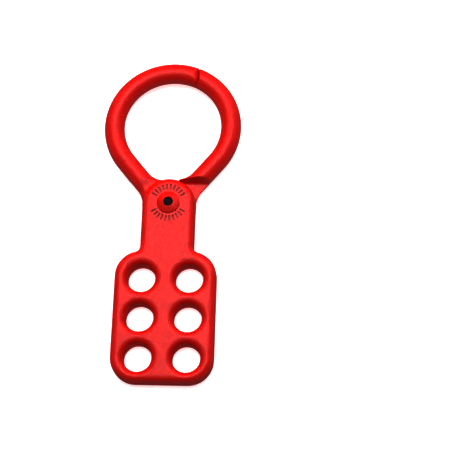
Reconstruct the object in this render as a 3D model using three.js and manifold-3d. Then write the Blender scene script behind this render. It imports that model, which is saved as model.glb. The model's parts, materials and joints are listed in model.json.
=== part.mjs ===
// Scissor-action lockout hasp: two moulded nylon halves that swing about one rivet.
// Millimetres, +Z up. The hasp lies on its back: +Y runs from the padlock tab to the jaws,
// and the origin is the middle of its footprint, on the surface that it lies on.

import * as THREE from 'three'
import { mergeVertices } from 'three/addons/utils/BufferGeometryUtils.js'
import Module from 'manifold-3d'

const wasm = await Module()
wasm.setup()

// ---------------------------------------------------------------- driving dimensions

const GAP = 0.3                  // running clearance between separate pieces
const LOOP_R = 19                // clear radius inside the closed jaws
const BAR_R = 3.85               // radius of the round jaw bar
const PIVOT_TO_LOOP = 32.7       // pivot axis to the centre of the loop
const PIVOT_TO_END = 69.4        // pivot axis to the bottom edge of the tab
const HUB_R = 10.2               // round hub about the pivot
const SHANK_W = 20.2             // neck between the hub and the tab
const TAB_W = 38.2
const TAB_TOP = 19               // pivot axis to the tab's shoulders
const CORNER_R = 9.5             // tab corners
const SHOULDER_FILLET = 2.2      // inside corner between the neck and the tab
const EDGE_R = 2.4               // rounding along the outer faces
const JAW_SLOPE = 39.5           // degrees that the bars lean out where they leave the hub
const CROTCH_FILLET = 8.5        // hub to jaw, inside the loop
const ARMPIT_FILLET = 9          // hub to jaw, outside the loop
const STEP_Y = 9.2               // foot of the step where the jaw grows to its full thickness
const STEP_LEAN = 1.4            // how far the step leans back between its foot and its top

const HOLE_R = 5.3               // padlock holes
const MOUTH_R = 2.4              // rounded mouth of each hole
const HOLE_PITCH_X = 18
const HOLE_PITCH_Y = 15.2
const FIRST_ROW = 29.7           // pivot axis to the first row of holes
const HOLE_ROWS = 3
const COLLAR_R = 6.95            // collar about each hole, inside the half
const RIM_W = 1.75               // wall about the pocket
const FLOOR_T = 1.3              // outer skin over the pocket
const RIB_T = 1.1
const HUB_PAD_R = 8.8            // flat bearing pad about the pivot

const TONGUE_END = 22.8          // degrees past the top of the loop
const NOSE_X = 9.7               // blunt end of the covering jaw, past the middle
const NOSE_TOP_R = 3             // rounding of the nose outside the loop
const NOSE_TOP_INSET = 1.1
const NOSE_BOTTOM_R = 2.4        // rounding of the nose inside the loop
const NOSE_BOTTOM_INSET = 1.6
const LAP_R = 55.3               // parting arc of the lap, about the pivot axis
const PAST_NOSE = 33             // degrees past the top, beyond where the nose is cut

const SHANK_HOLE_R = 3.3         // pivot bore in both hubs
const RIVET_R = SHANK_HOLE_R - GAP
const RIVET_HEAD_R = 4.35
const RIVET_HEAD_H = 1.3
const RIVET_TAIL_R = 4.3
const RIVET_TAIL_T = 1
const RIVET_TAIL_Z = 0.1         // the tail lies this far inside the back
const RIVET_BORE_R = 2
const PIN_R = RIVET_BORE_R - GAP
const PIN_RECESS = 0.35          // the pin stops this far inside the rivet's two ends

// ---------------------------------------------------------------- derived sizes

const THICK = 2 * BAR_R
const HALF_T = (THICK - GAP) / 2
const LOOP_MID_R = LOOP_R + BAR_R
const LOOP_OUT_R = LOOP_R + 2 * BAR_R
const PIVOT_Y = (PIVOT_TO_END - PIVOT_TO_LOOP - LOOP_OUT_R) / 2
const SLOPE = THREE.MathUtils.degToRad(JAW_SLOPE)
const UP_BAR = new THREE.Vector2(Math.sin(SLOPE), Math.cos(SLOPE))
const TO_LOOP = new THREE.Vector2(-Math.cos(SLOPE), Math.sin(SLOPE))
const BAR_OFFSET = PIVOT_TO_LOOP * Math.sin(SLOPE) - LOOP_MID_R
const FAR = 100                  // longer than anything on the hasp
const ROUND = 24                 // sides of a full round
const BAR_SIDES = 16
const BAR_STEP = 3.4             // length of each facet along the bar
const LAP_FACETS = 24            // facets along the parting arc

// ---------------------------------------------------------------- solids

function solid(geometry) {
  const bare = geometry.index ? geometry.toNonIndexed() : geometry.clone()
  bare.deleteAttribute('normal')
  bare.deleteAttribute('uv')
  const merged = mergeVertices(bare, 1e-4)
  return new wasm.Manifold(new wasm.Mesh({
    numProp: 3,
    vertProperties: new Float32Array(merged.attributes.position.array),
    triVerts: new Uint32Array(merged.index.array)
  }))
}

function toGeometry(manifold) {
  const mesh = manifold.getMesh()
  const geometry = new THREE.BufferGeometry()
  geometry.setAttribute('position', new THREE.BufferAttribute(new Float32Array(mesh.vertProperties), 3))
  geometry.setIndex(new THREE.BufferAttribute(new Uint32Array(mesh.triVerts), 1))
  geometry.computeVertexNormals()
  return geometry
}

// A flat outline made into a slab between two heights, with its faces' edges rounded by edge.
function slab(shape, low, high, edge = 0, curveSegments = 6) {
  const geometry = new THREE.ExtrudeGeometry(shape, {
    depth: high - low - 2 * edge,
    curveSegments,
    steps: 1,
    bevelEnabled: edge > 0,
    bevelThickness: edge,
    bevelSize: edge,
    bevelOffset: -edge,
    bevelSegments: 3
  })
  geometry.translate(0, 0, low + edge)
  return solid(geometry)
}

function post(radius, x, y, low, high) {
  const geometry = new THREE.CylinderGeometry(radius, radius, high - low, ROUND)
  geometry.rotateX(Math.PI / 2)
  geometry.translate(x, y, (low + high) / 2)
  return solid(geometry)
}

function block(x0, x1, y0, y1, z0, z1) {
  const geometry = new THREE.BoxGeometry(x1 - x0, y1 - y0, z1 - z0)
  geometry.translate((x0 + x1) / 2, (y0 + y1) / 2, (z0 + z1) / 2)
  return solid(geometry)
}

// A profile of [radius, height] points turned about the pivot axis.
function turned(profile) {
  const points = profile.map(([r, z]) => new THREE.Vector2(r, z))
  const geometry = new THREE.LatheGeometry(points, ROUND)
  geometry.rotateX(Math.PI / 2)
  return solid(geometry)
}

// ---------------------------------------------------------------- outlines, about the pivot

// A place given by its distance across and along the straight part of the bar.
function onBar(across, along) {
  return TO_LOOP.clone().multiplyScalar(across).addScaledVector(UP_BAR, along)
}

// Centre of a fillet that touches the hub and a line parallel to the bar.
function filletCentre(across, radius) {
  const reach = HUB_R + radius
  return onBar(across, Math.sqrt(reach * reach - across * across))
}

function arcTo(shape, centre, radius, from, to, clockwise) {
  shape.absarc(centre.x, centre.y, radius, from, to, clockwise)
}

// Hub, neck and tab as one outline, with the root of the bar that leans out to +X.
function halfOutline() {
  const shape = new THREE.Shape()
  const neck = SHANK_W / 2
  const side = TAB_W / 2
  const cornerX = side - CORNER_R
  const lowY = -PIVOT_TO_END + CORNER_R
  const topY = -TAB_TOP - CORNER_R
  const filletX = neck + SHOULDER_FILLET
  const rise = CORNER_R + SHOULDER_FILLET
  const filletY = topY + Math.sqrt(rise * rise - (filletX - cornerX) ** 2)
  const lean = Math.atan2(filletY - topY, filletX - cornerX)
  const hubY = -Math.sqrt(HUB_R * HUB_R - neck * neck)
  const hubAngle = Math.atan2(hubY, neck)
  const outer = BAR_OFFSET - BAR_R
  const inner = BAR_OFFSET + BAR_R
  const armpit = filletCentre(outer - ARMPIT_FILLET, ARMPIT_FILLET)
  const crotch = filletCentre(inner + CROTCH_FILLET, CROTCH_FILLET)
  const rootEnd = crotch.dot(UP_BAR) + EDGE_R
  const slopeUp = Math.atan2(TO_LOOP.y, TO_LOOP.x)

  shape.moveTo(0, -PIVOT_TO_END)
  arcTo(shape, { x: cornerX, y: lowY }, CORNER_R, -Math.PI / 2, 0, false)
  arcTo(shape, { x: cornerX, y: topY }, CORNER_R, 0, lean, false)
  arcTo(shape, { x: filletX, y: filletY }, SHOULDER_FILLET, Math.PI + lean, Math.PI, true)
  arcTo(shape, { x: 0, y: 0 }, HUB_R, hubAngle, armpit.angle() - 2 * Math.PI, false)
  arcTo(shape, armpit, ARMPIT_FILLET, armpit.angle() - Math.PI, slopeUp, true)
  shape.lineTo(...onBar(outer, rootEnd))
  shape.lineTo(...onBar(inner, rootEnd))
  arcTo(shape, crotch, CROTCH_FILLET, slopeUp - Math.PI, crotch.angle() - Math.PI, true)
  arcTo(shape, { x: 0, y: 0 }, HUB_R, crotch.angle(), Math.PI - hubAngle, false)
  arcTo(shape, { x: -filletX, y: filletY }, SHOULDER_FILLET, 0, -lean, true)
  arcTo(shape, { x: -cornerX, y: topY }, CORNER_R, Math.PI - lean, Math.PI, false)
  arcTo(shape, { x: -cornerX, y: lowY }, CORNER_R, Math.PI, 1.5 * Math.PI, false)
  return shape
}

// The tab's pocket: a rectangle with round corners inside the rim.
function tabPocketOutline() {
  const shape = new THREE.Shape()
  const x = TAB_W / 2 - CORNER_R
  const low = -PIVOT_TO_END + CORNER_R
  const top = -TAB_TOP - CORNER_R
  const r = CORNER_R - RIM_W
  arcTo(shape, { x, y: low }, r, -Math.PI / 2, 0, false)
  arcTo(shape, { x, y: top }, r, 0, Math.PI / 2, false)
  arcTo(shape, { x: -x, y: top }, r, Math.PI / 2, Math.PI, false)
  arcTo(shape, { x: -x, y: low }, r, Math.PI, 1.5 * Math.PI, false)
  return shape
}

// Everything on the covering jaw's side of its blunt nose, grown by clearance. +X is past the middle.
function noseOutline(clearance) {
  const shape = new THREE.Shape()
  const top = PIVOT_TO_LOOP + LOOP_OUT_R - NOSE_TOP_INSET + clearance
  const bottom = PIVOT_TO_LOOP + LOOP_R - NOSE_BOTTOM_INSET - clearance
  const end = NOSE_X + clearance
  const lowCorner = { x: end - NOSE_BOTTOM_R, y: bottom + NOSE_BOTTOM_R }
  const highCorner = { x: end - NOSE_TOP_R, y: top - NOSE_TOP_R }
  shape.moveTo(-FAR, bottom - BAR_R)
  shape.lineTo(highCorner.x, bottom - BAR_R)
  shape.lineTo(highCorner.x, bottom)
  arcTo(shape, lowCorner, NOSE_BOTTOM_R, -Math.PI / 2, 0, false)
  arcTo(shape, highCorner, NOSE_TOP_R, 0, Math.PI / 2, false)
  shape.lineTo(highCorner.x, top + BAR_R)
  shape.lineTo(-FAR, top + BAR_R)
  return shape
}

// The side of the tongue's end ray that holds the tongue, grown by clearance.
function tongueSide(clearance) {
  const shape = new THREE.Shape()
  const end = THREE.MathUtils.degToRad(TONGUE_END) + clearance / LOOP_MID_R
  const reach = LOOP_OUT_R + BAR_R
  shape.moveTo(0, PIVOT_TO_LOOP)
  shape.lineTo(reach * Math.sin(end), PIVOT_TO_LOOP + reach * Math.cos(end))
  shape.lineTo(0, FAR)
  shape.lineTo(-FAR, FAR)
  shape.lineTo(-FAR, PIVOT_TO_LOOP)
  return shape
}

// A slice about the pivot axis whose arc parts the tongue from the wall inside it.
function lapSlice(radius) {
  const shape = new THREE.Shape()
  const spread = Math.PI / 6
  shape.moveTo(0, 0)
  arcTo(shape, { x: 0, y: 0 }, radius, Math.PI / 2 - spread, Math.PI / 2 + spread, false)
  return slab(shape, -1, FAR, 0, LAP_FACETS)
}

// ---------------------------------------------------------------- the jaw bar

// The bar's centre line: straight out of the hub, then round the loop to an angle past its top.
class JawLine extends THREE.Curve {
  constructor(pastTop) {
    super()
    this.tangentAngle = Math.PI / 2 + SLOPE
    this.turn = this.tangentAngle + THREE.MathUtils.degToRad(pastTop)
    this.start = GAP
    this.straight = PIVOT_TO_LOOP * Math.cos(SLOPE) - this.start
    this.total = this.straight + this.turn * LOOP_MID_R
  }

  getPoint(t, target = new THREE.Vector3()) {
    const s = t * this.total
    if (s < this.straight) {
      const place = onBar(BAR_OFFSET, this.start + s)
      return target.set(place.x, place.y, BAR_R)
    }
    const angle = this.tangentAngle - (s - this.straight) / LOOP_MID_R
    const y = PIVOT_TO_LOOP + LOOP_MID_R * Math.cos(angle)
    return target.set(LOOP_MID_R * Math.sin(angle), y, BAR_R)
  }
}

function jawBar(pastTop) {
  const section = new THREE.Shape()
  for (let i = 0; i < BAR_SIDES; i++) {
    const angle = (i / BAR_SIDES) * 2 * Math.PI
    const x = BAR_R * Math.cos(angle)
    const y = BAR_R * Math.sin(angle)
    if (i === 0) {
      section.moveTo(x, y)
    } else {
      section.lineTo(x, y)
    }
  }
  const line = new JawLine(pastTop)
  const geometry = new THREE.ExtrudeGeometry(section, {
    steps: Math.round(line.total / BAR_STEP),
    extrudePath: line,
    bevelEnabled: false
  })
  return solid(geometry)
}

// ---------------------------------------------------------------- the moulded half

const holePlaces = []
for (let row = 0; row < HOLE_ROWS; row++) {
  for (const side of [-1, 1]) {
    holePlaces.push([side * HOLE_PITCH_X / 2, -FIRST_ROW - row * HOLE_PITCH_Y])
  }
}

// A padlock hole with its rounded mouth in the outer face.
function padlockHole(x, y) {
  const facets = 4
  const profile = [[0, -1], [HOLE_R + MOUTH_R, -1]]
  for (let i = 0; i <= facets; i++) {
    const angle = (i / facets) * Math.PI / 2
    profile.push([HOLE_R + MOUTH_R * (1 - Math.sin(angle)), MOUTH_R * (1 - Math.cos(angle))])
  }
  profile.push([HOLE_R, THICK], [0, THICK])
  return turned(profile).translate([x, y, 0])
}

// The open pocket behind the outer skin, less the collars and ribs that stand in it.
function pocket() {
  const neck = SHANK_W / 2 - RIM_W
  const shoulder = -TAB_TOP - RIM_W
  const deepest = -PIVOT_TO_END + RIM_W
  const side = TAB_W / 2 - RIM_W
  const firstRow = -FIRST_ROW
  const top = HALF_T + 1
  let space = slab(tabPocketOutline(), FLOOR_T, top)
  space = space.add(block(-neck, neck, shoulder - 1, 0, FLOOR_T, top))
  space = space.subtract(post(HUB_PAD_R, 0, 0, 0, top))
  for (const hand of [-1, 1]) {
    const ribX = hand * (neck + RIB_T / 2)
    const columnX = hand * HOLE_PITCH_X / 2
    const half = RIB_T / 2
    space = space.subtract(block(ribX - half, ribX + half, firstRow, shoulder + 1, 0, top))
    space = space.subtract(block(columnX - half, columnX + half, deepest - 1, firstRow, 0, top))
  }
  for (let row = 0; row < HOLE_ROWS; row++) {
    const y = firstRow - row * HOLE_PITCH_Y
    space = space.subtract(block(-side - 1, side + 1, y - RIB_T / 2, y + RIB_T / 2, 0, top))
  }
  for (const [x, y] of holePlaces) {
    space = space.subtract(post(COLLAR_R, x, y, 0, top))
  }
  return space
}

// The other half's side of the parting plane: as far as the leaning step, and all round the other hub.
function otherSide() {
  const shape = new THREE.Shape()
  shape.moveTo(-FAR, HALF_T)
  shape.lineTo(STEP_Y, HALF_T)
  shape.lineTo(STEP_Y + STEP_LEAN, THICK)
  shape.lineTo(STEP_Y + STEP_LEAN, FAR)
  shape.lineTo(-FAR, FAR)
  const geometry = new THREE.ExtrudeGeometry(shape, { depth: 2 * FAR, steps: 1, bevelEnabled: false })
  geometry.translate(0, 0, -FAR)
  const alongY = new THREE.Vector3(0, 1, 0)
  const alongZ = new THREE.Vector3(0, 0, 1)
  const alongX = new THREE.Vector3(1, 0, 0)
  geometry.applyMatrix4(new THREE.Matrix4().makeBasis(alongY, alongZ, alongX))
  return solid(geometry).add(post(HUB_R + GAP, 0, 0, HALF_T, FAR))
}

// One half lying on its outer face, jaw to +X, before its end of the lap joint is cut.
function blankHalf(pastTop) {
  let half = slab(halfOutline(), 0, THICK, EDGE_R).add(jawBar(pastTop))
  half = half.subtract(otherSide())
  half = half.subtract(pocket())
  for (const [x, y] of holePlaces) {
    half = half.subtract(padlockHole(x, y))
  }
  return half.subtract(post(SHANK_HOLE_R, 0, 0, -1, FAR))
}

// The rear half: its jaw ends in a tongue, and its back is sunk for the rivet's tail.
function tongueHalf() {
  const cover = slab(noseOutline(GAP), -1, FAR)
  const besideTongue = cover.intersect(lapSlice(LAP_R + GAP))
  const half = blankHalf(TONGUE_END)
    .subtract(cover.intersect(block(-FAR, FAR, 0, FAR, HALF_T, FAR)))
    .subtract(besideTongue)
  return half.subtract(post(RIVET_TAIL_R + GAP, 0, 0, -1, RIVET_TAIL_T + GAP))
}

// The front half: its jaw ends in a blunt nose that covers the tongue from the front and the inside.
function coverHalf() {
  const nose = slab(noseOutline(0), -1, FAR).mirror([1, 0, 0])
  const tongueSpace = slab(tongueSide(GAP), HALF_T, FAR).subtract(lapSlice(LAP_R))
  const blank = blankHalf(PAST_NOSE)
  const lapSide = block(-FAR, 0, PIVOT_TO_LOOP, FAR, -1, FAR)
  const lapEnd = blank.intersect(lapSide).intersect(nose)
  return blank.subtract(lapSide).add(lapEnd).subtract(tongueSpace)
}

// ---------------------------------------------------------------- the pivot

function rivet() {
  const facets = 6
  const headLow = THICK + GAP
  const headRise = RIVET_HEAD_H - GAP
  const profile = [
    [RIVET_BORE_R, RIVET_TAIL_Z],
    [RIVET_TAIL_R, RIVET_TAIL_Z],
    [RIVET_TAIL_R, RIVET_TAIL_T],
    [RIVET_R, RIVET_TAIL_T],
    [RIVET_R, headLow]
  ]
  for (let i = 0; i <= facets; i++) {
    const angle = (i / facets) * Math.PI / 2
    const reach = (RIVET_HEAD_R - RIVET_BORE_R) * Math.cos(angle)
    profile.push([RIVET_BORE_R + reach, headLow + headRise * Math.sin(angle)])
  }
  profile.push([RIVET_BORE_R, RIVET_TAIL_Z])
  return turned(profile)
}

function corePin() {
  return post(PIN_R, 0, 0, PIN_RECESS, THICK + RIVET_HEAD_H - PIN_RECESS)
}

// ---------------------------------------------------------------- the assembly

const nylon = { color: 0xe0141a, roughness: 0.42, metalness: 0 }
const darkSteel = { color: 0x17171a, roughness: 0.45, metalness: 0.85 }

function part(name, manifold, look) {
  const mesh = new THREE.Mesh(toGeometry(manifold), new THREE.MeshStandardMaterial(look))
  mesh.name = name
  return mesh
}

const hasp = new THREE.Group()
hasp.position.y = PIVOT_Y

const front = part('front_half', coverHalf(), nylon)
front.rotation.y = Math.PI
front.position.z = THICK

hasp.add(part('rear_half', tongueHalf(), nylon))
hasp.add(front)
hasp.add(part('pivot_rivet', rivet(), nylon))
hasp.add(part('core_pin', corePin(), darkSteel))

const assembly = new THREE.Group()
assembly.add(hasp)

export default assembly
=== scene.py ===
"""Scissor-action lockout hasp: two moulded nylon halves, their drive rivet and its steel core pin.

The halves are modelled in millimetres, each lying on its outer face with the pivot at the origin and its
jaw leaning out to +X, and are then placed in the frame, in metres.
"""

import json
import math

import bmesh
import bpy
from mathutils import Euler, Matrix, Vector


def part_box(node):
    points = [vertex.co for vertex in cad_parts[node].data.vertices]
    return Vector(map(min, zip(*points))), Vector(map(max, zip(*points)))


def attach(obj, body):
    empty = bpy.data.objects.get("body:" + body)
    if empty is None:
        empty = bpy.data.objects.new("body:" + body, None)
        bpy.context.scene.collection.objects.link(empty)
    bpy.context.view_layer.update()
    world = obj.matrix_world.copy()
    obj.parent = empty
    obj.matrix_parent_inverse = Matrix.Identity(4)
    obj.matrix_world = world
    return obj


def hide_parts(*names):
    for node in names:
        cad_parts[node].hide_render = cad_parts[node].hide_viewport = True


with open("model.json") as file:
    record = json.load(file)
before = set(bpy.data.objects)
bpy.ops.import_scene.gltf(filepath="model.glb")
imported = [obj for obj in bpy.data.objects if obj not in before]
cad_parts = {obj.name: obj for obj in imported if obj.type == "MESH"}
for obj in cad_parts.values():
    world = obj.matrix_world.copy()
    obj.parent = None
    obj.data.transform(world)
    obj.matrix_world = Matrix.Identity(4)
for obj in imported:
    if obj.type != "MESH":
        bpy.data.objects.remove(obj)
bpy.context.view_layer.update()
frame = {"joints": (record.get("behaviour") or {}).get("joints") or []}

# ------------------------------------------------------------------ sizes, in millimetres

MM = 0.001
rear_low, rear_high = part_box("rear_half")
front_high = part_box("front_half")[1]
rivet_low, rivet_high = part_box("pivot_rivet")
hinge = Vector(frame["joints"][0]["pos_m"])

THICK = rear_high.z / MM                      # both halves together
BAR_R = THICK / 2                             # round jaw bar
LOOP_OUT_R = rear_high.x / MM                 # outside of the closed loop
LOOP_R = LOOP_OUT_R - 2 * BAR_R
LOOP_MID_R = LOOP_R + BAR_R
PIVOT_TO_LOOP = (front_high.y - hinge.y) / MM - LOOP_OUT_R
PIVOT_TO_END = (hinge.y - rear_low.y) / MM
TAB_W = -2 * rear_low.x / MM

GAP = 0.3                                     # running clearance between the pieces
SLIDE_GAP = 0.1                               # what shows between the two faces that slide on each other
HALF_T = (THICK - SLIDE_GAP) / 2
HUB_R = 10.2
SHANK_W = 20.2
STEP_Y = 9.2                                  # foot of the step where the jaw grows to its full thickness
STEP_LEAN = 1.4                               # how far the step leans back between its foot and its top
TAB_TOP = 19.0                                # pivot axis to the tab's shoulders
CORNER_R = 9.5
SHOULDER_FILLET = 2.2
EDGE_R = 2.4                                  # rounding along the front face
BACK_EDGE_R = 1.3                             # rounding along the back
JAW_SLOPE = math.radians(39.5)                # how far the bars lean out where they leave the hub
CROTCH_FILLET = 8.5
ARMPIT_FILLET = 9.0
VALLEY = 0.95                                 # how far the jaw's root dips beside the flat hub

HOLE_R = 5.3
MOUTH_R = 2.4                                 # rounded mouth of each hole in the front
BACK_MOUTH_R = 1.1
HOLE_PITCH_X = 18.0
HOLE_PITCH_Y = 15.2
FIRST_ROW = 29.7                              # pivot axis to the first row of holes
HOLE_ROWS = 3
COLLAR_R = 6.95                               # collar about each hole, inside the half
RIM_W = 1.75                                  # wall about the pocket
FLOOR_T = 1.3                                 # outer skin over the pocket
RIB_T = 1.1
THIN_RIB_T = 0.7
HUB_PAD_R = 8.8                               # flat bearing pad about the pivot

TONGUE_END = math.radians(22.8)               # past the top of the loop
NOSE_X = 9.7                                  # blunt end of the covering jaw, past the middle
NOSE_TOP_R = 2.2
NOSE_TOP_INSET = 0.35
NOSE_BOTTOM_R = 2.4
NOSE_BOTTOM_INSET = 1.6
NOSE_ROLL = 3.1                               # rounding of the nose towards the front
LAP_R = 55.3                                  # parting arc of the lap, about the pivot axis
LAP_SPREAD = math.pi / 6
PAST_NOSE = math.radians(33)                  # beyond where the nose is cut

SHANK_HOLE_R = 3.3                            # pivot bore in both hubs
RIVET_R = SHANK_HOLE_R - GAP
RIVET_HEAD_R = 4.35
RIVET_TOP = rivet_high.z / MM
RIVET_TAIL_R = 4.3
RIVET_TAIL_T = 1.0
RIVET_TAIL_Z = rivet_low.z / MM
RIVET_BORE_R = 1.75
RIVET_LIP = 0.25                              # rounding of the rivet's bore and tail
SHOULDER_R = 0.45                             # rounding of the head's rim
HEAD_SHOULDER_Z = 8.2                         # top of the head's upright rim
HEAD_ROUND = math.radians(67)                 # the head's cone rises at 23 degrees
SEAT_GAP = 0.02                               # the head stands this far off the hub
PIN_RECESS = 0.35                             # the pin stops this far inside the rivet's ends
PIN_CLEARANCE = 0.05
PIN_CHAMFER = 0.3

MARKS = 10                                    # index strokes in each arc about the pivot
MARK_SPREAD = math.radians(118)
MARK_MID_R = 6.3
MARK_L = 2.1
MARK_W = 0.6
MARK_DEPTH = 0.5

WALL_R = 1.6                                  # metres from the hasp to the backdrop

FAR = 100.0                                   # longer than anything on the hasp
VOXEL = 0.34                                  # grain of the melted skin
MELT_ROUNDS = 5                               # smoothing passes that round the moulded edges
CORNER_ANGLE = math.radians(40)               # a sharper turn than this is shaded as a corner
TOUCH = 1e-4                                  # points closer than this are one

UP_BAR = Vector((math.sin(JAW_SLOPE), math.cos(JAW_SLOPE)))
TO_LOOP = Vector((-math.cos(JAW_SLOPE), math.sin(JAW_SLOPE)))
BAR_OFFSET = PIVOT_TO_LOOP * math.sin(JAW_SLOPE) - LOOP_MID_R
BAR_STRAIGHT = PIVOT_TO_LOOP * math.cos(JAW_SLOPE)


# ------------------------------------------------------------------ shaping tools

def arc(centre, radius, start, end, steps=12):
    """Points along an arc, with its angles in radians from +X."""
    points = []
    for i in range(steps + 1):
        angle = start + (end - start) * i / steps
        points.append(Vector((centre[0] + radius * math.cos(angle), centre[1] + radius * math.sin(angle))))
    return points


def tidy(bm):
    """Welds what meets and turns every face outwards."""
    bmesh.ops.remove_doubles(bm, verts=bm.verts[:], dist=TOUCH)
    bmesh.ops.recalc_face_normals(bm, faces=bm.faces[:])
    return bm


def prism(outline, low, high):
    """A flat outline pulled up into a solid between two heights."""
    bm = bmesh.new()
    face = bm.faces.new([bm.verts.new((x, y, low)) for x, y in outline])
    pulled = bmesh.ops.extrude_face_region(bm, geom=[face], use_keep_orig=True)
    top = [v for v in pulled["geom"] if isinstance(v, bmesh.types.BMVert)]
    bmesh.ops.translate(bm, verts=top, vec=(0, 0, high - low))
    return tidy(bm)


def round_rim(bm, z, radius, pick=None, segments=5):
    """Rounds the rim that lies at height z, or only the edges of it that pick() chooses."""
    rim = [e for e in bm.edges if all(abs(v.co.z - z) < TOUCH for v in e.verts)]
    if pick:
        rim = [e for e in rim if all(pick(v.co) for v in e.verts)]
    bmesh.ops.bevel(bm, geom=rim, offset=radius, segments=segments, profile=0.5,
                    affect="EDGES", material=-1, clamp_overlap=False)
    return tidy(bm)


def post(radius, x, y, low, high, sides=64):
    """An upright round post between two heights."""
    bm = bmesh.new()
    spot = Matrix.Translation((x, y, (low + high) / 2))
    bmesh.ops.create_cone(bm, cap_ends=True, segments=sides, radius1=radius, radius2=radius,
                          depth=high - low, matrix=spot)
    return bm


def block(x0, x1, y0, y1, z0, z1):
    """A box between two corners."""
    bm = bmesh.new()
    spot = Matrix.Translation(((x0 + x1) / 2, (y0 + y1) / 2, (z0 + z1) / 2))
    size = Matrix.Diagonal((x1 - x0, y1 - y0, z1 - z0, 1))
    bmesh.ops.create_cube(bm, size=1, matrix=spot @ size)
    return bm


def turned(profile, steps=72):
    """A closed profile of (radius, height) points spun about the Z axis."""
    bm = bmesh.new()
    verts = [bm.verts.new((r, 0, z)) for r, z in profile]
    edges = [bm.edges.new((a, b)) for a, b in zip(verts, verts[1:])]
    bmesh.ops.spin(bm, geom=verts + edges, cent=(0, 0, 0), axis=(0, 0, 1), dvec=(0, 0, 0),
                   angle=2 * math.pi, steps=steps, use_merge=True)
    return tidy(bm)


def as_object(bm, name):
    """Puts a shape into the scene as an object of its own."""
    mesh = bpy.data.meshes.new(name)
    bm.to_mesh(mesh)
    bm.free()
    made = bpy.data.objects.new(name, mesh)
    bpy.context.scene.collection.objects.link(made)
    return made


def settle(made):
    """Makes an object's modifiers part of its mesh."""
    bpy.context.view_layer.update()
    seen = made.evaluated_get(bpy.context.evaluated_depsgraph_get())
    mesh = bpy.data.meshes.new_from_object(seen)
    old = made.data
    made.modifiers.clear()
    made.data = mesh
    bpy.data.meshes.remove(old)
    return made


def joined(operation, base, tool):
    """One solid from two: DIFFERENCE takes tool away from base, UNION and INTERSECT work on both."""
    body = as_object(base, "body")
    other = as_object(tool, "tool")
    step = body.modifiers.new("step", "BOOLEAN")
    step.operation = operation
    step.solver = "MANIFOLD"
    step.object = other
    settle(body)
    bm = bmesh.new()
    bm.from_mesh(body.data)
    for used in (body, other):
        mesh = used.data
        bpy.data.objects.remove(used)
        bpy.data.meshes.remove(mesh)
    return bm


def cut(base, tool):
    return joined("DIFFERENCE", base, tool)


def add(base, extra):
    return joined("UNION", base, extra)


def keep(base, region):
    return joined("INTERSECT", base, region)


def ease(value, low, high):
    """0 below low, 1 above high and a smooth rise between."""
    t = min(1.0, max(0.0, (value - low) / (high - low)))
    return t * t * (3 - 2 * t)


# ------------------------------------------------------------------ outlines of a half

def on_bar(across, along):
    """A point by its distance across and along the jaw's straight bar."""
    return TO_LOOP * across + UP_BAR * along


def fillet_place(across, radius):
    """Distance along the bar of a fillet's centre that touches the hub and a line beside the bar."""
    reach = HUB_R + radius
    return math.sqrt(reach * reach - across * across)


def plate_outline():
    """Hub, neck and padlock tab as one outline."""
    neck = SHANK_W / 2
    corner_x = TAB_W / 2 - CORNER_R
    low_y = -PIVOT_TO_END + CORNER_R
    top_y = -TAB_TOP - CORNER_R
    fillet_x = neck + SHOULDER_FILLET
    rise = CORNER_R + SHOULDER_FILLET
    fillet_y = top_y + math.sqrt(rise ** 2 - (fillet_x - corner_x) ** 2)
    lean = math.atan2(fillet_y - top_y, fillet_x - corner_x)
    hub_angle = -math.acos(neck / HUB_R)
    right = arc((corner_x, low_y), CORNER_R, -math.pi / 2, 0)
    right += arc((corner_x, top_y), CORNER_R, 0, lean)
    right += arc((fillet_x, fillet_y), SHOULDER_FILLET, math.pi + lean, math.pi, 6)
    right += arc((0, 0), HUB_R, hub_angle, math.pi / 2, 20)[:-1]
    left = [Vector((-p.x, p.y)) for p in reversed(right)]
    return right + [Vector((0, HUB_R))] + left


def pocket_outline():
    """The tab's pocket: a rectangle with round corners inside the rim."""
    x = TAB_W / 2 - CORNER_R
    low = -PIVOT_TO_END + CORNER_R
    top = -TAB_TOP - CORNER_R
    radius = CORNER_R - RIM_W
    quarter = math.pi / 2
    corners = [(x, low, -1), (x, top, 0), (-x, top, 1), (-x, low, 2)]
    points = []
    for cx, cy, turn in corners:
        points += arc((cx, cy), radius, turn * quarter, (turn + 1) * quarter)
    return points


def nose_outline(clearance):
    """All that lies on the covering jaw's side of its blunt nose, grown by clearance.

    +X is past the middle of the loop.
    """
    top = PIVOT_TO_LOOP + LOOP_OUT_R - NOSE_TOP_INSET + clearance
    bottom = PIVOT_TO_LOOP + LOOP_R - NOSE_BOTTOM_INSET - clearance
    end = NOSE_X + clearance
    high_x = end - NOSE_TOP_R
    low_x = end - NOSE_BOTTOM_R
    points = [Vector((-FAR, bottom - BAR_R)), Vector((low_x, bottom - BAR_R))]
    points += arc((low_x, bottom + NOSE_BOTTOM_R), NOSE_BOTTOM_R, -math.pi / 2, 0)
    points += arc((high_x, top - NOSE_TOP_R), NOSE_TOP_R, 0, math.pi / 2)
    points += [Vector((high_x, top + BAR_R)), Vector((-FAR, top + BAR_R))]
    return points


def tongue_side(clearance):
    """The side of the tongue's end that holds the tongue, grown by clearance."""
    end = TONGUE_END + clearance / LOOP_MID_R
    reach = LOOP_OUT_R + BAR_R
    tip = Vector((reach * math.sin(end), PIVOT_TO_LOOP + reach * math.cos(end)))
    far_side = [Vector((0, FAR)), Vector((-FAR, FAR)), Vector((-FAR, PIVOT_TO_LOOP))]
    return [Vector((0, PIVOT_TO_LOOP)), tip] + far_side


def lap_slice(radius):
    """A slice about the pivot axis whose arc parts the tongue from the wall inside it."""
    start = math.pi / 2 - LAP_SPREAD
    end = math.pi / 2 + LAP_SPREAD
    outline = [Vector((0, 0))] + arc((0, 0), radius, start, end, 96)
    return prism(outline, -1, FAR)


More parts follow.
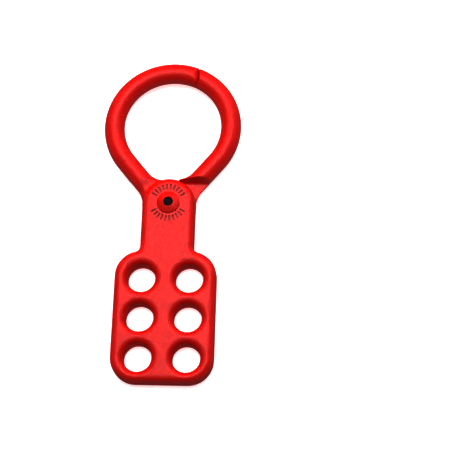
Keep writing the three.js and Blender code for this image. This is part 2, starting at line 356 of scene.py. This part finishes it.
# ------------------------------------------------------------------ the jaw

def bar_section(bm, along):
    """The rim of the jaw at a distance along its straight part.

    It is square with round corners at the hub, then round.
    """
    crotch = BAR_OFFSET + BAR_R + CROTCH_FILLET
    armpit = BAR_OFFSET - BAR_R - ARMPIT_FILLET
    crotch_y = fillet_place(crotch, CROTCH_FILLET)
    armpit_y = fillet_place(armpit, ARMPIT_FILLET)
    crotch_hub = crotch_y * HUB_R / (HUB_R + CROTCH_FILLET)
    armpit_hub = armpit_y * HUB_R / (HUB_R + ARMPIT_FILLET)
    inner_run = crotch_y - min(crotch_y, max(along, crotch_hub))
    outer_run = armpit_y - min(armpit_y, max(along, armpit_hub))
    inner = crotch - math.sqrt(CROTCH_FILLET ** 2 - inner_run ** 2) - BAR_OFFSET
    outer = BAR_OFFSET - armpit - math.sqrt(ARMPIT_FILLET ** 2 - outer_run ** 2)
    corner = EDGE_R + (BAR_R - EDGE_R) * ease(along, HUB_R - EDGE_R, HUB_R + 2 * EDGE_R)
    dip = VALLEY * (1 - ease(along, HUB_R, HUB_R + 2 * EDGE_R))
    corner = min(corner, BAR_R - dip)

    half_step = Matrix.Rotation(math.pi / 64, 4, "Z")
    ring = bmesh.ops.create_circle(bm, segments=64, radius=corner, matrix=half_step)["verts"]
    for v in ring:
        v.co.x += inner - corner if v.co.x > 0 else corner - outer
        v.co.y += BAR_R - corner if v.co.y > 0 else corner + dip - BAR_R
    centre = on_bar(BAR_OFFSET, along)
    spot = Matrix.Translation((centre.x, centre.y, BAR_R)) @ Matrix((
        (TO_LOOP.x, 0, UP_BAR.x, 0),
        (TO_LOOP.y, 0, UP_BAR.y, 0),
        (0, 1, 0, 0),
        (0, 0, 0, 1)))
    bmesh.ops.transform(bm, matrix=spot, verts=ring)
    return list({e for v in ring for e in v.link_edges})


def jaw_bar(past_top, stations=44, steps=120):
    """The jaw: drawn section by section out of the hub, then spun round the loop's centre."""
    bm = bmesh.new()
    start = HUB_R / 3
    rims = []
    for i in range(stations + 1):
        rims.append(bar_section(bm, start + (BAR_STRAIGHT - start) * i / stations))
    for near, far in zip(rims, rims[1:]):
        bmesh.ops.bridge_loops(bm, edges=near + far)
    turn = math.pi / 2 + JAW_SLOPE + past_top
    ends = bmesh.ops.spin(bm, geom=rims[-1], cent=(0, PIVOT_TO_LOOP, BAR_R), axis=(0, 0, 1),
                          dvec=(0, 0, 0), angle=turn, steps=steps)["geom_last"]
    last = [e for e in ends if isinstance(e, bmesh.types.BMEdge)]
    bmesh.ops.contextual_create(bm, geom=rims[0])
    bmesh.ops.contextual_create(bm, geom=last)
    return tidy(bm)


# ------------------------------------------------------------------ the moulded half

def hole_places():
    """Centres of the padlock holes."""
    for row in range(HOLE_ROWS):
        for side in (-1, 1):
            yield side * HOLE_PITCH_X / 2, -FIRST_ROW - row * HOLE_PITCH_Y


def padlock_hole(x, y, mouth_r):
    """A padlock hole with its rounded mouth in the outer face."""
    mouth = [(p.x, p.y) for p in arc((HOLE_R + mouth_r, mouth_r), mouth_r, -math.pi / 2, -math.pi, 8)]
    profile = [(0, -1), (HOLE_R + mouth_r, -1)] + mouth + [(HOLE_R, THICK), (0, THICK)]
    bm = turned(profile)
    bmesh.ops.translate(bm, verts=bm.verts[:], vec=(x, y, 0))
    return bm


def pocket():
    """The open pocket behind the outer skin, less the collars and ribs that stand in it."""
    neck = SHANK_W / 2 - RIM_W
    shoulder = -TAB_TOP - RIM_W
    deepest = -PIVOT_TO_END + RIM_W
    side = TAB_W / 2 - RIM_W
    top = HALF_T + 1
    space = prism(pocket_outline(), FLOOR_T, top)
    space = add(space, block(-neck, neck, shoulder - 1, 0, FLOOR_T, top))
    space = cut(space, post(HUB_PAD_R, 0, 0, 0, top))
    for hand in (-1, 1):
        rib_x = hand * (neck + RIB_T / 2)
        column_x = hand * HOLE_PITCH_X / 2
        space = cut(space, block(rib_x - RIB_T / 2, rib_x + RIB_T / 2, -FIRST_ROW, shoulder + 1, 0, top))
        space = cut(space, block(column_x - THIN_RIB_T / 2, column_x + THIN_RIB_T / 2,
                                 deepest - 1, -FIRST_ROW, 0, top))
    for row in range(HOLE_ROWS):
        y = -FIRST_ROW - row * HOLE_PITCH_Y
        space = cut(space, block(-side - 1, side + 1, y - RIB_T / 2, y + RIB_T / 2, 0, top))
    for x, y in hole_places():
        space = cut(space, post(COLLAR_R, x, y, 0, top))
    return space


def other_side():
    """The other half's side of the parting plane, up to the leaning step and all round the other hub."""
    top_y = STEP_Y + STEP_LEAN
    outline = [(-FAR, HALF_T), (STEP_Y, HALF_T), (top_y, THICK), (top_y, FAR), (-FAR, FAR)]
    space = prism(outline, -FAR, FAR)
    across = Matrix(((0, 0, 1, 0), (1, 0, 0, 0), (0, 1, 0, 0), (0, 0, 0, 1)))
    bmesh.ops.transform(space, matrix=across, verts=space.verts[:])
    return add(space, post(HUB_R + GAP, 0, 0, HALF_T, FAR, 96))


def blank_half(past_top, edge_r, mouth_r):
    """One half lying on its outer face, before its end of the lap joint is cut."""
    plate = round_rim(prism(plate_outline(), 0, HALF_T), 0, edge_r)
    root = cut(jaw_bar(past_top), other_side())
    half = cut(add(plate, root), pocket())
    for x, y in hole_places():
        half = cut(half, padlock_hole(x, y, mouth_r))
    return cut(half, post(SHANK_HOLE_R, 0, 0, -1, FAR))


def tongue_half():
    """The rear half: its jaw ends in a tongue, and its back is sunk for the rivet's tail."""
    half = blank_half(TONGUE_END, BACK_EDGE_R, BACK_MOUTH_R)
    lap_space = keep(prism(nose_outline(SLIDE_GAP), 0, FAR), block(-FAR, FAR, 0, FAR, HALF_T, FAR))
    half = cut(half, lap_space)
    half = cut(half, keep(prism(nose_outline(SLIDE_GAP), -1, FAR), lap_slice(LAP_R + GAP)))
    return cut(half, post(RIVET_TAIL_R + GAP, 0, 0, -1, RIVET_TAIL_T + GAP))


def cover_half():
    """The front half: its jaw ends in a blunt nose that covers the tongue from the front and the inside."""
    end = round_rim(prism(nose_outline(0), 0, FAR), 0, NOSE_ROLL, pick=lambda co: co.x > 0)
    bmesh.ops.scale(end, vec=(-1, 1, 1), verts=end.verts[:])
    tidy(end)
    blank = blank_half(PAST_NOSE, EDGE_R, MOUTH_R)
    jaw_end = keep(keep(blank.copy(), block(-FAR, 0, PIVOT_TO_LOOP, FAR, -1, FAR)), end)
    half = add(cut(blank, block(-FAR, 0, PIVOT_TO_LOOP, FAR, -1, FAR)), jaw_end)
    tongue_space = cut(prism(tongue_side(GAP), HALF_T, FAR), lap_slice(LAP_R))
    return cut(half, tongue_space)


def moulded(bm, name):
    """Melts the cut shapes into one moulding with small soft edges."""
    half = as_object(bm, name)
    skin = half.modifiers.new("one skin", "REMESH")
    skin.mode = "VOXEL"
    skin.voxel_size = VOXEL
    skin.use_smooth_shade = True
    melt = half.modifiers.new("soft edges", "SMOOTH")
    melt.factor = 0.5
    melt.iterations = MELT_ROUNDS
    return settle(half)


def smooth(made):
    """Shades a piece smoothly and keeps its corners."""
    made.data.shade_smooth()
    made.data.set_sharp_from_angle(angle=CORNER_ANGLE)
    return made


def hub_marks(half):
    """Two arcs of short index strokes sunk into the hub about the pivot."""
    strokes = bmesh.new()
    for middle in (math.pi / 2, -math.pi / 2):
        for i in range(MARKS):
            angle = middle + MARK_SPREAD * (i / (MARKS - 1) - 0.5)
            turn = Matrix.Rotation(angle, 4, "Z") @ Matrix.Translation((MARK_MID_R, 0, 0))
            size = Matrix.Diagonal((MARK_L, MARK_W, 2 * MARK_DEPTH, 1))
            bmesh.ops.create_cube(strokes, size=1, matrix=turn @ size)
    tool = as_object(strokes, "strokes")
    sink = half.modifiers.new("index strokes", "BOOLEAN")
    sink.operation = "DIFFERENCE"
    sink.solver = "MANIFOLD"
    sink.object = tool
    settle(half)
    bpy.data.objects.remove(tool)
    return smooth(half)


def place(made, turn=Matrix.Identity(4)):
    """Puts a piece modelled in millimetres about the pivot into the frame."""
    to_frame = Matrix.Translation((hinge.x, hinge.y, 0)) @ Matrix.Scale(MM, 4) @ turn
    made.data.transform(to_frame)
    return made


def front_turn():
    """The front half lies face up: turned over about the long axis and raised to the full thickness."""
    return Matrix.Translation((0, 0, THICK)) @ Matrix.Rotation(math.pi, 4, "Y")


# ------------------------------------------------------------------ the pivot

def rivet_shape():
    """A low cone-shaped head, a shank and a tail flange, bored for the core pin."""
    head_low = THICK + SEAT_GAP
    tail_centre = (RIVET_TAIL_R - RIVET_LIP, RIVET_TAIL_Z + RIVET_LIP)
    shoulder_centre = (RIVET_HEAD_R - SHOULDER_R, HEAD_SHOULDER_Z - SHOULDER_R)
    brow_centre = (RIVET_BORE_R + RIVET_LIP, RIVET_TOP - RIVET_LIP)
    tail = arc(tail_centre, RIVET_LIP, -math.pi / 2, 0, 4)
    shoulder = arc(shoulder_centre, SHOULDER_R, 0, HEAD_ROUND, 6)
    brow = arc(brow_centre, RIVET_LIP, HEAD_ROUND, math.pi, 6)
    profile = [(RIVET_BORE_R, RIVET_TAIL_Z + RIVET_LIP), (RIVET_BORE_R + RIVET_LIP, RIVET_TAIL_Z)]
    profile += tail
    profile += [(RIVET_TAIL_R, RIVET_TAIL_T), (RIVET_R, RIVET_TAIL_T)]
    profile += [(RIVET_R, head_low), (RIVET_HEAD_R, head_low)]
    profile += shoulder
    profile += brow
    profile += [(RIVET_BORE_R, RIVET_TAIL_Z + RIVET_LIP)]
    return turned(profile)


def pin_shape():
    """The steel pin, with chamfered ends just inside the rivet's."""
    radius = RIVET_BORE_R - PIN_CLEARANCE
    low = RIVET_TAIL_Z + PIN_RECESS
    high = RIVET_TOP - PIN_RECESS
    inside = radius - PIN_CHAMFER
    return turned([(0, low), (inside, low), (radius, low + PIN_CHAMFER), (radius, high - PIN_CHAMFER),
                   (inside, high), (0, high)], 48)


# ------------------------------------------------------------------ materials

def moulded_nylon(name, deep, bright, worn, painted_shade):
    """Satin nylon: clouded pigment, spark-eroded skin, paler rubbed edges, and painted shade that darkens
    the sharp recesses.
    """
    material = bpy.data.materials.new(name)
    material.use_nodes = True
    tree = material.node_tree
    nodes = tree.nodes
    links = tree.links
    nodes.clear()

    colour_frame = nodes.new("NodeFrame")
    wear_frame = nodes.new("NodeFrame")
    gloss_frame = nodes.new("NodeFrame")
    relief_frame = nodes.new("NodeFrame")
    output = nodes.new("ShaderNodeOutputMaterial")
    nylon = nodes.new("ShaderNodeBsdfPrincipled")
    place_on = nodes.new("ShaderNodeTexCoord")
    clouds = nodes.new("ShaderNodeTexNoise")
    pigment = nodes.new("ShaderNodeMix")
    shape = nodes.new("ShaderNodeNewGeometry")
    edges = nodes.new("ShaderNodeMapRange")
    patches = nodes.new("ShaderNodeTexNoise")
    rubbed = nodes.new("ShaderNodeMath")
    worn_mix = nodes.new("ShaderNodeMix")
    # painted shade: the base colour is darkened in sharp recesses and the sunk index strokes, where shade
    # falls
    recesses = nodes.new("ShaderNodeMapRange")
    painted_shade_mix = nodes.new("ShaderNodeMix")
    haze = nodes.new("ShaderNodeTexNoise")
    gloss = nodes.new("ShaderNodeMapRange")
    scuffed = nodes.new("ShaderNodeMath")
    grain = nodes.new("ShaderNodeTexNoise")
    pits = nodes.new("ShaderNodeTexVoronoi")
    skin = nodes.new("ShaderNodeMath")
    swell = nodes.new("ShaderNodeTexNoise")
    ripple = nodes.new("ShaderNodeBump")
    relief = nodes.new("ShaderNodeBump")

    output.label = "hasp moulding"
    nylon.label = "satin nylon"
    place_on.label = "place on the moulding"
    colour_frame.label = "pigment"
    clouds.label = "clouding in the pigment"
    pigment.label = "deep to bright red"
    # this frame holds the real rubbed edges and the painted shade in the recesses
    wear_frame.label = "rubbed edges and grime"
    shape.label = "edges of the moulding"
    edges.label = "only the raised edges"
    patches.label = "where hands and locks rub"
    rubbed.label = "broken-up wear"
    worn_mix.label = "paler where rubbed"
    recesses.label = "only the sharp recesses"
    painted_shade_mix.label = "darker in the recesses"
    gloss_frame.label = "gloss"
    haze.label = "uneven gloss"
    gloss.label = "satin range"
    scuffed.label = "duller where rubbed"
    relief_frame.label = "skin"
    grain.label = "spark-eroded grain"
    pits.label = "fine pits"
    skin.label = "grain and pits"
    swell.label = "sink marks"
    ripple.label = "slow unevenness"
    relief.label = "fine skin"

    place_on.location = (-1500, 0)
    clouds.location = (-1200, 500)
    pigment.location = (-700, 500)
    shape.location = (-1200, 200)
    edges.location = (-950, 200)
    patches.location = (-1200, -60)
    rubbed.location = (-700, 150)
    worn_mix.location = (-450, 350)
    recesses.location = (-950, 50)
    painted_shade_mix.location = (-250, 350)
    haze.location = (-1200, -300)
    gloss.location = (-950, -300)
    scuffed.location = (-300, -200)
    grain.location = (-1200, -560)
    pits.location = (-1200, -800)
    skin.location = (-950, -650)
    swell.location = (-950, -900)
    ripple.location = (-600, -850)
    relief.location = (-300, -650)
    nylon.location = (0, 0)
    output.location = (350, 0)

    clouds.parent = colour_frame
    pigment.parent = colour_frame
    shape.parent = wear_frame
    edges.parent = wear_frame
    patches.parent = wear_frame
    rubbed.parent = wear_frame
    worn_mix.parent = wear_frame
    recesses.parent = wear_frame
    painted_shade_mix.parent = wear_frame
    haze.parent = gloss_frame
    gloss.parent = gloss_frame
    scuffed.parent = gloss_frame
    grain.parent = relief_frame
    pits.parent = relief_frame
    skin.parent = relief_frame
    swell.parent = relief_frame
    ripple.parent = relief_frame
    relief.parent = relief_frame

    clouds.inputs["Scale"].default_value = 150
    clouds.inputs["Detail"].default_value = 6
    clouds.inputs["Roughness"].default_value = 0.6
    pigment.data_type = "RGBA"
    pigment.inputs["A"].default_value = (*deep, 1)
    pigment.inputs["B"].default_value = (*bright, 1)
    edges.inputs["From Min"].default_value = 0.53
    edges.inputs["From Max"].default_value = 0.62
    patches.inputs["Scale"].default_value = 240
    patches.inputs["Detail"].default_value = 5
    rubbed.operation = "MULTIPLY"
    rubbed.use_clamp = True
    worn_mix.data_type = "RGBA"
    worn_mix.inputs["B"].default_value = (*worn, 1)
    recesses.inputs["From Min"].default_value = 0.38
    recesses.inputs["From Max"].default_value = 0.46
    recesses.inputs["To Min"].default_value = 1
    recesses.inputs["To Max"].default_value = 0
    # painted shade colour, mixed in where the recesses are
    painted_shade_mix.data_type = "RGBA"
    painted_shade_mix.inputs["B"].default_value = (*painted_shade, 1)
    haze.inputs["Scale"].default_value = 800
    haze.inputs["Detail"].default_value = 4
    gloss.inputs["To Min"].default_value = 0.33
    gloss.inputs["To Max"].default_value = 0.58
    scuffed.operation = "MULTIPLY_ADD"
    scuffed.inputs[1].default_value = 0.14
    scuffed.use_clamp = True
    grain.inputs["Scale"].default_value = 2600
    grain.inputs["Detail"].default_value = 2
    pits.inputs["Scale"].default_value = 1700
    skin.operation = "MULTIPLY_ADD"
    skin.inputs[1].default_value = 0.5
    swell.inputs["Scale"].default_value = 110
    swell.inputs["Detail"].default_value = 1
    ripple.inputs["Strength"].default_value = 0.35
    ripple.inputs["Distance"].default_value = 0.0006
    relief.inputs["Strength"].default_value = 0.6
    relief.inputs["Distance"].default_value = 0.00008
    nylon.inputs["IOR"].default_value = 1.5
    nylon.inputs["Specular IOR Level"].default_value = 0.42

    for texture in (clouds, patches, haze, grain, pits, swell):
        links.new(place_on.outputs["Object"], texture.inputs["Vector"])
    links.new(clouds.outputs["Fac"], pigment.inputs["Factor"])
    links.new(shape.outputs["Pointiness"], edges.inputs["Value"])
    links.new(edges.outputs["Result"], rubbed.inputs[0])
    links.new(patches.outputs["Fac"], rubbed.inputs[1])
    links.new(rubbed.outputs["Value"], worn_mix.inputs["Factor"])
    links.new(pigment.outputs["Result"], worn_mix.inputs["A"])
    links.new(shape.outputs["Pointiness"], recesses.inputs["Value"])
    links.new(recesses.outputs["Result"], painted_shade_mix.inputs["Factor"])
    links.new(worn_mix.outputs["Result"], painted_shade_mix.inputs["A"])
    links.new(painted_shade_mix.outputs["Result"], nylon.inputs["Base Color"])
    links.new(haze.outputs["Fac"], gloss.inputs["Value"])
    links.new(rubbed.outputs["Value"], scuffed.inputs[0])
    links.new(gloss.outputs["Result"], scuffed.inputs[2])
    links.new(scuffed.outputs["Value"], nylon.inputs["Roughness"])
    links.new(pits.outputs["Distance"], skin.inputs[0])
    links.new(grain.outputs["Fac"], skin.inputs[2])
    links.new(swell.outputs["Fac"], ripple.inputs["Height"])
    links.new(skin.outputs["Value"], relief.inputs["Height"])
    links.new(ripple.outputs["Normal"], relief.inputs["Normal"])
    links.new(relief.outputs["Normal"], nylon.inputs["Normal"])
    links.new(nylon.outputs["BSDF"], output.inputs["Surface"])
    return material


def blackened_steel(name):
    """Oxide-black steel with faint turning rings."""
    material = bpy.data.materials.new(name)
    material.use_nodes = True
    tree = material.node_tree
    nodes = tree.nodes
    links = tree.links
    nodes.clear()

    finish_frame = nodes.new("NodeFrame")
    relief_frame = nodes.new("NodeFrame")
    output = nodes.new("ShaderNodeOutputMaterial")
    steel = nodes.new("ShaderNodeBsdfPrincipled")
    place_on = nodes.new("ShaderNodeTexCoord")
    centre = nodes.new("ShaderNodeMapping")
    rings = nodes.new("ShaderNodeTexWave")
    mottle = nodes.new("ShaderNodeTexNoise")
    oxide = nodes.new("ShaderNodeMix")
    gloss = nodes.new("ShaderNodeMapRange")
    relief = nodes.new("ShaderNodeBump")

    output.label = "core pin"
    steel.label = "blackened steel"
    place_on.label = "place on the pin"
    centre.label = "centred on the pin"
    finish_frame.label = "oxide"
    mottle.label = "uneven oxide"
    oxide.label = "black to brown"
    gloss.label = "dull range"
    relief_frame.label = "turning marks"
    rings.label = "turning rings"
    relief.label = "ring relief"

    place_on.location = (-1300, 0)
    centre.location = (-1100, 0)
    mottle.location = (-850, 250)
    oxide.location = (-500, 300)
    gloss.location = (-500, 50)
    rings.location = (-850, -250)
    relief.location = (-500, -250)
    steel.location = (-150, 0)
    output.location = (200, 0)

    mottle.parent = finish_frame
    oxide.parent = finish_frame
    gloss.parent = finish_frame
    rings.parent = relief_frame
    relief.parent = relief_frame

    centre.inputs["Location"].default_value = (-hinge.x, -hinge.y, 0)
    mottle.inputs["Scale"].default_value = 900
    mottle.inputs["Detail"].default_value = 4
    oxide.data_type = "RGBA"
    oxide.inputs["A"].default_value = (0.004, 0.004, 0.004, 1)
    oxide.inputs["B"].default_value = (0.009, 0.006, 0.005, 1)
    gloss.inputs["To Min"].default_value = 0.4
    gloss.inputs["To Max"].default_value = 0.65
    rings.wave_type = "RINGS"
    rings.rings_direction = "Z"
    rings.inputs["Scale"].default_value = 900
    relief.inputs["Strength"].default_value = 0.3
    relief.inputs["Distance"].default_value = 0.00004
    steel.inputs["Metallic"].default_value = 0.1
    steel.inputs["Specular IOR Level"].default_value = 0.12

    links.new(place_on.outputs["Object"], centre.inputs["Vector"])
    links.new(centre.outputs["Vector"], mottle.inputs["Vector"])
    links.new(centre.outputs["Vector"], rings.inputs["Vector"])
    links.new(mottle.outputs["Fac"], oxide.inputs["Factor"])
    links.new(mottle.outputs["Fac"], gloss.inputs["Value"])
    links.new(oxide.outputs["Result"], steel.inputs["Base Color"])
    links.new(gloss.outputs["Result"], steel.inputs["Roughness"])
    links.new(rings.outputs["Fac"], relief.inputs["Height"])
    links.new(relief.outputs["Normal"], steel.inputs["Normal"])
    links.new(steel.outputs["BSDF"], output.inputs["Surface"])
    return material


def pale_board(name):
    """The white board that the hasp lies on, lit from within like a light table."""
    material = bpy.data.materials.new(name)
    material.use_nodes = True
    tree = material.node_tree
    nodes = tree.nodes
    links = tree.links
    nodes.clear()

    output = nodes.new("ShaderNodeOutputMaterial")
    board = nodes.new("ShaderNodeBsdfPrincipled")
    place_on = nodes.new("ShaderNodeTexCoord")
    fibre = nodes.new("ShaderNodeTexNoise")
    tone = nodes.new("ShaderNodeMix")

    output.label = "board"
    board.label = "matt card"
    place_on.label = "place on the board"
    fibre.label = "card fibre"
    tone.label = "faint tone change"

    place_on.location = (-900, 0)
    fibre.location = (-700, 0)
    tone.location = (-450, 0)
    board.location = (-150, 0)
    output.location = (200, 0)

    fibre.inputs["Scale"].default_value = 300
    tone.data_type = "RGBA"
    tone.inputs["A"].default_value = (0.38, 0.38, 0.38, 1)
    tone.inputs["B"].default_value = (0.42, 0.42, 0.42, 1)
    board.inputs["Roughness"].default_value = 0.9
    board.inputs["Specular IOR Level"].default_value = 0.1
    board.inputs["Emission Color"].default_value = (1, 1, 1, 1)
    board.inputs["Emission Strength"].default_value = 0.9

    links.new(place_on.outputs["Object"], fibre.inputs["Vector"])
    links.new(fibre.outputs["Fac"], tone.inputs["Factor"])
    links.new(tone.outputs["Result"], board.inputs["Base Color"])
    links.new(board.outputs["BSDF"], output.inputs["Surface"])
    return material


# ------------------------------------------------------------------ the pieces

def make_hasp():
    """The four pieces, on three bodies: the rivet and its core pin share one."""
    # the last colour is painted shade, which darkens the sharp recesses and index strokes
    nylon = moulded_nylon("red nylon", deep=(0.68, 0.004, 0.001), bright=(0.82, 0.008, 0.002),
                          worn=(0.86, 0.06, 0.04), painted_shade=(0.5, 0.003, 0.001))
    steel = blackened_steel("blackened steel")

    rear = place(moulded(tongue_half(), "rear_moulding"))
    rear.data.materials.clear()
    rear.data.materials.append(nylon)
    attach(rear, "rear")
    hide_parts("rear_half")

    front = place(hub_marks(moulded(cover_half(), "front_moulding")), front_turn())
    front.data.materials.clear()
    front.data.materials.append(nylon)
    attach(front, "front")
    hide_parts("front_half")

    rivet = place(smooth(as_object(rivet_shape(), "drive_rivet")))
    rivet.data.materials.append(nylon)
    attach(rivet, "pivot")
    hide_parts("pivot_rivet")

    pin = place(smooth(as_object(pin_shape(), "steel_core_pin")))
    pin.data.materials.append(steel)
    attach(pin, "pivot")
    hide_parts("core_pin")


# ------------------------------------------------------------------ stage, light and camera

def make_floor():
    """The board that the hasp lies on, out to the backdrop."""
    bm = bmesh.new()
    bmesh.ops.create_grid(bm, x_segments=4, y_segments=4, size=WALL_R)
    floor = as_object(bm, "board")
    floor.data.materials.append(pale_board("pale board"))
    floor.visible_glossy = False


def make_backdrop():
    """A white wall all round, far behind everything, that lights nothing."""
    bm = bmesh.new()
    bmesh.ops.create_cone(bm, cap_ends=False, segments=96, radius1=WALL_R, radius2=WALL_R, depth=2 * WALL_R)
    bmesh.ops.reverse_faces(bm, faces=bm.faces[:])
    wall = as_object(bm, "backdrop")
    wall.data.materials.append(pale_board("backdrop card"))
    wall.visible_diffuse = False
    wall.visible_glossy = False
    wall.visible_shadow = False


def soft_light(name, place_at, aim, size, power, glossy=False):
    """A wide lamp: its place, aim and size in metres, its power in watts."""
    data = bpy.data.lights.new(name, "AREA")
    data.shape = "RECTANGLE"
    data.size, data.size_y = size
    data.energy = power
    lamp = bpy.data.objects.new(name, data)
    bpy.context.scene.collection.objects.link(lamp)
    lamp.location = place_at
    lamp.visible_glossy = glossy
    lamp.rotation_euler = (Vector(aim) - Vector(place_at)).to_track_quat("-Z", "Y").to_euler()


def make_light():
    """Two lamps beyond the loop, left and right, one overhead, and a view curve that darkens the slopes."""
    soft_light("upper left", (-0.55, 0.52, 0.49), (0, 0, 0), (0.45, 0.45), 2.6)
    soft_light("upper right", (0.55, 0.52, 0.49), (0, 0, 0), (0.45, 0.45), 2.6)
    soft_light("overhead", (0, 0.22, 0.82), (0, 0, 0), (0.5, 0.5), 7.4, glossy=True)
    world = bpy.data.worlds.new("studio")
    world.use_nodes = True
    air = world.node_tree.nodes["Background"]
    air.inputs["Color"].default_value = (1, 1, 1, 1)
    air.inputs["Strength"].default_value = 0.05
    bpy.context.scene.world = world
    view = bpy.context.scene.view_settings
    view.view_transform = "Standard"
    view.use_curve_mapping = True
    tone = view.curve_mapping.curves[3]
    for light_in, light_out in ((0.25, 0.09), (0.5, 0.25), (0.85, 0.59)):
        tone.points.new(light_in, light_out)
    view.curve_mapping.update()


def make_camera():
    """A long lens, a little before and beside the hasp, looking down on it."""
    data = bpy.data.cameras.new("camera")
    data.lens = 105
    camera = bpy.data.objects.new("camera", data)
    bpy.context.scene.collection.objects.link(camera)
    camera.location = (0.05283, -0.16514, 0.47466)
    tilt = math.radians(19.09)
    pan = math.radians(3.36)
    roll = math.radians(0.67)
    camera.rotation_mode = "YXZ"
    camera.rotation_euler = Euler((tilt, pan, roll), "YXZ")
    bpy.context.scene.camera = camera


make_hasp()
make_floor()
make_backdrop()
make_light()
make_camera()
